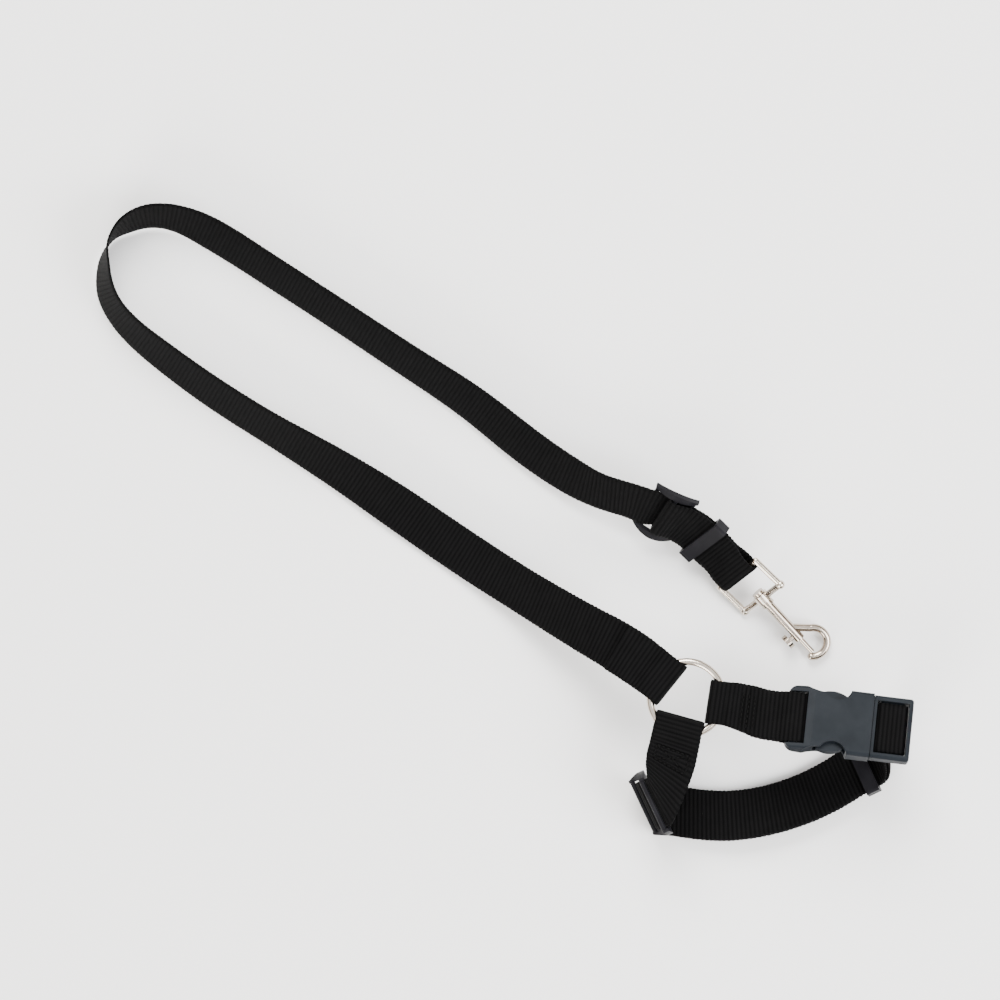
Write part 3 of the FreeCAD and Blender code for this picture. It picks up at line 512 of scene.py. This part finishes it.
def sewing(name, track, rows, height, material, pitch=2.4, length=2.1, thick=0.7):
    """Thread stitches along rows of a strap, each a short rounded float that dips at its ends."""
    points, faces = [], []
    sides, rings = 6, 7
    for (s0, y0), (s1, y1) in rows:
        reach = math.hypot(s1 - s0, y1 - y0)
        along = ((s1 - s0) / reach, (y1 - y0) / reach)
        for k in range(int(reach / pitch)):
            middle = pitch * (k + 0.5) / reach
            s, y = s0 + (s1 - s0) * middle, y0 + (y1 - y0) * middle
            (point,), (way,), (width,), (normal,) = track.frames([s])
            centre = point + width * y + normal * height
            forward = way * along[0] + width * along[1]
            beside = np.cross(normal, forward)
            first = len(points)
            for i in range(rings):
                t = i / (rings - 1) * 2 - 1
                radius = thick / 2 * math.sqrt(max(1 - t ** 4, 0.05))
                at = centre + forward * t * length / 2 - normal * 0.25 * t * t
                for j in range(sides):
                    angle = 2 * math.pi * j / sides
                    spoke = beside * math.cos(angle) + normal * math.sin(angle)
                    points.append(np.array(ORIGIN) + (at + spoke * radius) * MM)
            for i in range(rings - 1):
                for j in range(sides):
                    a, b = first + i * sides + j, first + i * sides + (j + 1) % sides
                    faces.append((a, b, b + sides, a + sides))
            faces.append(tuple(first + j for j in range(sides - 1, -1, -1)))
            faces.append(tuple(first + (rings - 1) * sides + j for j in range(sides)))
    thing = add_mesh(name, points, faces, smooth=True)
    thing.data.materials.append(material)
    return thing


# ---------------------------------------------------------------- strap routes

LAYER = (WEB_THICK + LAYER_GAP) / 2
ARCH_TOP = 1.6
ARCH_FOOT = ARCH_TOP - SLIDER_ARCH
FOLD_R = RING_WIRE / 2 + FIT_GAP + WEB_THICK / 2
EYE_FOLD_R = EYE_WIRE / 2 + FIT_GAP + WEB_THICK / 2
BAR_FOLD_R = SLIDER_BAR / 2 + FIT_GAP + WEB_THICK / 2
UNDER_BAR = ARCH_TOP - BAR_FOLD_R - WEB_THICK - FIT_GAP
OVER_END = ARCH_FOOT + SLIDER_BAR / 2 + FIT_GAP + WEB_THICK / 2
RING_TAIL = 42.0
FOLD_OPEN = 8.0
FOLD_CLOSE = 12.5
FOLD_END = 25.7            # where every strap's two layers lie together
LOOP_TAIL = 35.0
LOOP_SPLIT = 8.0
ON_TOP = LAYER + WEB_THICK / 2

TETHER_ROUTE = [
    (0, 0, 36, 180), (-18, 1.4, 36, 180), (-34, 2.0, 35, 175), (-58, 0.6, 27.5, 161),
    (-92, -1.4, 15, 151), (-130, -2.3, 8, 151), (-168, -2.1, 8.5, 148), (-207, -2.8, 10, 137),
    (-240, -4.7, 11, 128), (-275, -5.8, 11.5, 126), (-308, -4.6, 12, 123), (-330, -1.6, 12.3, 118),
    (-345, 5.4, 12.5, 114), (-354, 16.5, 13, 106), (-358, 28, 13.2, 90), (-355.5, 39, 13, 74),
    (-349.5, 47.5, 12.6, 67), (-339, 54, 12, 62), (-320, 58, 11.2, 54), (-290, 59.2, 11, 54),
    (-245, 60, 11, 54), (-200, 60.5, 11, 52), (-165, 60.6, 11, 48), (-135, 58.4, 11.8, 45),
    (-106, 58.2, 14.5, 46), (-90, 60.2, 18, 49), (-79, 63.4, 20.6, 49), (-69, 66.2, 21.4, 47),
    (-58, 68.5, 20, 45), (-47, 69.9, 17.9, 43), (-35, 68.5, 15.8, 41), (-23, 66.3, 14.1, 40),
    (-12, 64.0, 12.8, 40), (2, 61.1, 11.5, 40),
]
LOOP_ROUTE = [
    (0, 0, 36, 0.951, 0.309, 0), (5, -15.4, 36, 0.951, 0.309, 0),
    (9.6, -27, 36.6, 0.97, 0.2, 0), (13.2, -38.2, 36.8, 1, -0.1, 0),
    (16.2, -46, 35.4, 0.93, -0.36, 0), (17.3, -49.9, 32.4, 0.87, -0.49, 0),
    (16.9, -50.5, 29.9, 0.858, -0.513, 0), (15.8, -52.4, 20.5, 0.858, -0.513, 0),
    (14.7, -54.3, 11.1, 0.858, -0.513, 0), (15.0, -55.1, 7.6, 0.81, -0.59, 0),
    (17.7, -54.5, 4.3, 0.7, -0.71, 0), (22.2, -52.3, 3.2, 0.6, -0.8, 0.03),
    (28.8, -49.0, 3.4, 0.55, -0.83, 0.1),
    (40.4, -43.2, 4.4, 0.55, -0.81, 0.2), (52.9, -35.0, 5.5, 0.58, -0.78, 0.3),
    (65.6, -23.1, 6.1, 0.65, -0.72, 0.34), (77.2, -8.2, 6.1, 0.74, -0.6, 0.33),
    (85.9, 7.6, 6.2, 0.79, -0.52, 0.3), (91.6, 20.2, 7.2, 0.8, -0.51, 0.28),
    (94.7, 27.0, 9.2, 0.75, -0.55, 0.28), (94.8, 32.8, 14, 0.64, -0.68, 0.3),
    (93.8, 36.5, 20.6, 0.53, -0.78, 0.31), (92.0, 39.3, 29, 0.444, -0.84, 0.31),
    (91.2, 40.9, 34.3, 0.432, -0.847, 0.309), (90.37, 42.52, 40, 0.432, -0.847, 0.309),
]
TETHER_SLIDER_AT = 28
TETHER_EYE_AT = 32
LOOP_SLIDER_AT = 7
LOOP_KEEPER_AT = 18

BUCKLE_START = np.array((44.8, 19.3, 40.0))
BUCKLE_ANGLE = math.radians(27.0)
BUCKLE_ROLL = math.radians(18.0)
BUCKLE_WAY = np.array((math.cos(BUCKLE_ANGLE), math.sin(BUCKLE_ANGLE), 0))
BUCKLE_WIDTH_DIR = np.array((-math.sin(BUCKLE_ANGLE) * math.cos(BUCKLE_ROLL),
                             math.cos(BUCKLE_ANGLE) * math.cos(BUCKLE_ROLL),
                             -math.sin(BUCKLE_ROLL)))

tether = Track([station[:3] for station in TETHER_ROUTE],
               rolls=[station[3] for station in TETHER_ROUTE])
loop = Track([station[:3] for station in LOOP_ROUTE],
             widths=[station[3:] for station in LOOP_ROUTE])
S_SLIDER = tether.params[TETHER_SLIDER_AT]
S_EYE = tether.params[TETHER_EYE_AT]
L_SLIDER = loop.params[LOOP_SLIDER_AT]
L_KEEPER = loop.params[LOOP_KEEPER_AT]
L_BAR = loop.params[-1]


def ring_fold(fold, tail_at):
    """(s, n) path of a strap end sewn round the ring at s = fold, with its free tail underneath."""
    path = [(tail_at, -LAYER)]
    path += run(path[-1], (fold + FOLD_CLOSE, -LAYER), 5)
    path += ease(path[-1], (fold + FOLD_OPEN, -FOLD_R), 3)
    path += run(path[-1], (fold + 1, -FOLD_R), 4)
    path += turn(fold, 0, FOLD_R, -90, -270)
    path += run(path[-1], (fold + FOLD_OPEN, FOLD_R), 4)
    return path + ease(path[-1], (fold + FOLD_CLOSE, LAYER), 3)


def through_slider(s, side):
    """The long strap's path through a tri-glide: over, under and over its three bars."""
    first, middle, last = [(s - SLIDER_PITCH, side * OVER_END), (s, side * UNDER_BAR),
                           (s + SLIDER_PITCH, side * OVER_END)]
    return [first] + ease(first, middle, 5) + ease(middle, last, 5)


def back_to_slider(s, side):
    """The doubled strap's way back to its fold round the tri-glide's middle bar."""
    over = side * (OVER_END + WEB_THICK + LAYER_GAP)
    path = ease((s + 2 * SLIDER_PITCH, side * LAYER), (s + SLIDER_PITCH, over), 4)
    path += ease(path[-1], (s, side * (ARCH_TOP + BAR_FOLD_R)), 5)
    path += turn(s, side * ARCH_TOP, BAR_FOLD_R, 90 * side, 270 * side)[1:]
    return path + [(s + 2.5, side * (ARCH_TOP - BAR_FOLD_R + 0.3)),
                   (s + 4.6, side * (ARCH_TOP - BAR_FOLD_R + 1.1))]


def narrow(*folds):
    """Width along a strap that bunches near each fold, given as (where, how wide)."""
    def width_at(s):
        width = WEB_WIDTH
        for middle, bunched in folds:
            far = min(max((abs(s - middle) - 6.0) / 14.0, 0.0), 1.0)
            width = min(width, bunched + (WEB_WIDTH - bunched) * far)
        return width
    return width_at


def box_rows(s0, s1, half):
    """Rows of a box with a cross in it."""
    a, b, c, d = (s0, -half), (s1, -half), (s1, half), (s0, half)
    return [(a, b), (b, c), (d, c), (a, d), (a, c), (d, b)]


def tether_path():
    path = ring_fold(TETHER_FOLD[0], RING_TAIL)
    path += run(path[-1], (RING_TAIL + 1, LAYER), 5)
    path += ease(path[-1], (RING_TAIL + 15, 0), 4)
    path += run(path[-1], (S_SLIDER - 2.2 * SLIDER_PITCH, 0), 7)
    path += ease(path[-1], (S_SLIDER - SLIDER_PITCH, OVER_END), 3)[:-1]
    path += through_slider(S_SLIDER, 1)
    path += ease(path[-1], (S_SLIDER + 2 * SLIDER_PITCH, -LAYER), 4)
    path += run(path[-1], (S_EYE - 12, -LAYER), 6)
    path += ease(path[-1], (S_EYE - 5, -EYE_FOLD_R), 3)
    path += turn(S_EYE, 0, EYE_FOLD_R, -90, 90)
    path += [(S_EYE - 5, EYE_FOLD_R)]
    path += ease(path[-1], (S_EYE - 12, LAYER), 3)
    path += run(path[-1], (S_SLIDER + 2 * SLIDER_PITCH, LAYER), 6)
    return path + back_to_slider(S_SLIDER, 1)


def loop_out_path(end):
    path = ring_fold(LOOP_FOLD[0], LOOP_TAIL)
    path += run(path[-1], (LOOP_TAIL - 2, LAYER), 4)
    path += ease(path[-1], (L_SLIDER - 1.8 * SLIDER_PITCH, 0), 2)
    path += ease(path[-1], (L_SLIDER - SLIDER_PITCH, -OVER_END), 3)[:-1]
    path += through_slider(L_SLIDER, -1)
    path += ease(path[-1], (L_SLIDER + 2 * SLIDER_PITCH, LAYER), 6)
    return path + run(path[-1], (end, LAYER), 6)


def loop_back_path(start):
    path = [(start, -LAYER)]
    path += run(path[-1], (L_SLIDER + 2 * SLIDER_PITCH, -LAYER), 6)
    return path + back_to_slider(L_SLIDER, -1)


def loop_end_path(start):
    corner = WRAP_BAR_HALF - WRAP_BAR_R + WRAP_SPARE
    radius = WRAP_BAR_R + FIT_GAP + WEB_THICK / 2
    path = [(start, LAYER)]
    path += run(path[-1], (L_BAR - 13, LAYER), 4)
    path += ease(path[-1], (L_BAR, corner + radius), 5)[:-1]
    path += turn(L_BAR, corner, radius, 90, 0)
    path += turn(L_BAR, -corner, radius, 0, -90)
    path += ease(path[-1], (L_BAR - 13, -LAYER), 5)
    return path + run(path[-1], (start, -LAYER), 4)


def short_track():
    angle = math.radians(SHORT_STRAP_ANGLE)
    leave = np.array((math.cos(angle), math.sin(angle), 0))
    across = np.array((-math.sin(angle), math.cos(angle), 0))
    centre = np.array((0, 0, RING_HEIGHT))
    bar = BUCKLE_START + BUCKLE_WAY * END_BAR_X
    points = [centre, centre + leave * 12, centre + leave * 22, bar - BUCKLE_WAY * 13,
              bar - BUCKLE_WAY * 4, bar]
    widths = [across, across, unit(across * 2 + BUCKLE_WIDTH_DIR * 0.6), BUCKLE_WIDTH_DIR,
              BUCKLE_WIDTH_DIR, BUCKLE_WIDTH_DIR]
    return Track(points, widths=widths)


def short_path(end):
    radius = END_BAR_R * 1.2 + FIT_GAP + WEB_THICK / 2
    middle = SHORT_FOLD[0] + FOLD_CLOSE + 3
    path = ring_fold(SHORT_FOLD[0], middle - 0.5)
    path += run(path[-1], (end - 9, LAYER), 4)
    path += ease(path[-1], (end - 2, radius), 3)
    path += turn(end + SLOT_DIVE, 0, radius, 90, -90)
    path += [(end - 2, -radius)]
    path += ease(path[-1], (end - 9, -LAYER), 3)
    return path + run(path[-1], (middle + 0.5, -LAYER), 4)


# ---------------------------------------------------------------- pieces

def declare_strap(thing, body, nodes):
    """A strap rides on its body, if it has one, and stands for its CAD nodes, which are hidden."""
    if body:
        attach(thing, body)
    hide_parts(*nodes)


def fold_crease(fold):
    """The line pressed across a strap just behind its fold round the ring."""
    return ((fold[0] + CREASE_BEHIND, -WEB_WIDTH / 2), (fold[0] + CREASE_BEHIND, WEB_WIDTH / 2))


def make_straps():
    webbing = webbing_material("webbing_weave", *WEBBING_TONES_WITH_PAINTED_SHADE)
    thread = thread_material()
    short = short_track()

    tether_seams = box_rows(FOLD_END + 1, RING_TAIL - 2, SEAM_HALF)
    strap = Strap("tether_strap", tether, tether_path(),
                  narrow(TETHER_FOLD, (S_EYE, EYE_FOLD_WIDTH)),
                  tether_seams + [fold_crease(TETHER_FOLD)])
    declare_strap(strap.build(webbing), "webbing", ["tether_webbing"])

    short_seams = [((s, -SHORT_SEAM_HALF), (s, SHORT_SEAM_HALF))
                   for s in (FOLD_END + 2, FOLD_END + 5, FOLD_END + 8)]
    strap = Strap("buckle_strap", short, short_path(short.params[-1]), narrow(SHORT_FOLD),
                  short_seams + [fold_crease(SHORT_FOLD)])
    declare_strap(strap.build(webbing), "webbing", ["short_strap"])

    loop_seams = box_rows(FOLD_END + 0.5, LOOP_TAIL - 1, SEAM_HALF)
    out = Strap("loop_strap", loop, loop_out_path(L_KEEPER), narrow(LOOP_FOLD),
                loop_seams + [fold_crease(LOOP_FOLD)])
    declare_strap(out.build(webbing), "webbing", ["loop_webbing"])
    back = Strap("loop_strap_return", loop, loop_back_path(L_KEEPER), narrow())
    declare_strap(back.build(webbing), "webbing", ["loop_webbing"])

    end = Strap("loop_strap_bight", loop, loop_end_path(L_KEEPER + 0.05), narrow())
    thing = end.build(webbing)
    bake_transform(thing)
    declare_strap(thing, None, ["loop_strap_end"])

    for name, track, rows, node in (
            ("tether_sewing", tether, tether_seams, "tether_ring_stitching"),
            ("buckle_strap_sewing", short, short_seams, "short_strap_stitching"),
            ("loop_sewing", loop, loop_seams, "loop_ring_stitching")):
        stitches = sewing(name, track, rows, ON_TOP - 0.1, thread)
        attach(stitches, "webbing")
        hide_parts(node)


def finish_hardware():
    """Materials and softened edges for the CAD's own metal and plastic pieces."""
    nickel = nickel_material("nickel_plate", WIRE_TINT)
    cast = nickel_material("nickel_cast", CAST_TINT)
    buckle = plastic_material("buckle_moulding", *BUCKLE_TONES, 0.42)
    adjuster = plastic_material("adjuster_moulding", *ADJUSTER_TONES, 0.4)
    looks = {
        "o_ring": (nickel, 0.0), "snap_eye": (nickel, 0.15), "snap_body": (cast, 0.15),
        "snap_bolt": (cast, 0.15), "bolt_spring": (nickel, 0.0),
        "buckle_female": (buckle, 0.3), "buckle_male": (buckle, 0.3),
        "latch_arm_upper": (buckle, 0.3), "latch_arm_lower": (buckle, 0.3),
        "tether_slider": (adjuster, 0.25), "tether_keeper": (adjuster, 0.25),
        "loop_slider": (adjuster, 0.25), "loop_keeper": (adjuster, 0.25),
    }
    for name, (material, edge) in looks.items():
        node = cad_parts[name]
        node.data.materials.clear()
        node.data.materials.append(material)
        if edge:
            bevel = node.modifiers.new("soft_edges", "BEVEL")
            bevel.width = edge * MM
            bevel.segments = 2
            bevel.limit_method = "ANGLE"
            bevel.angle_limit = math.radians(38)
            bevel.harden_normals = True


make_camera()
make_lights()
make_floor()
make_straps()
finish_hardware()
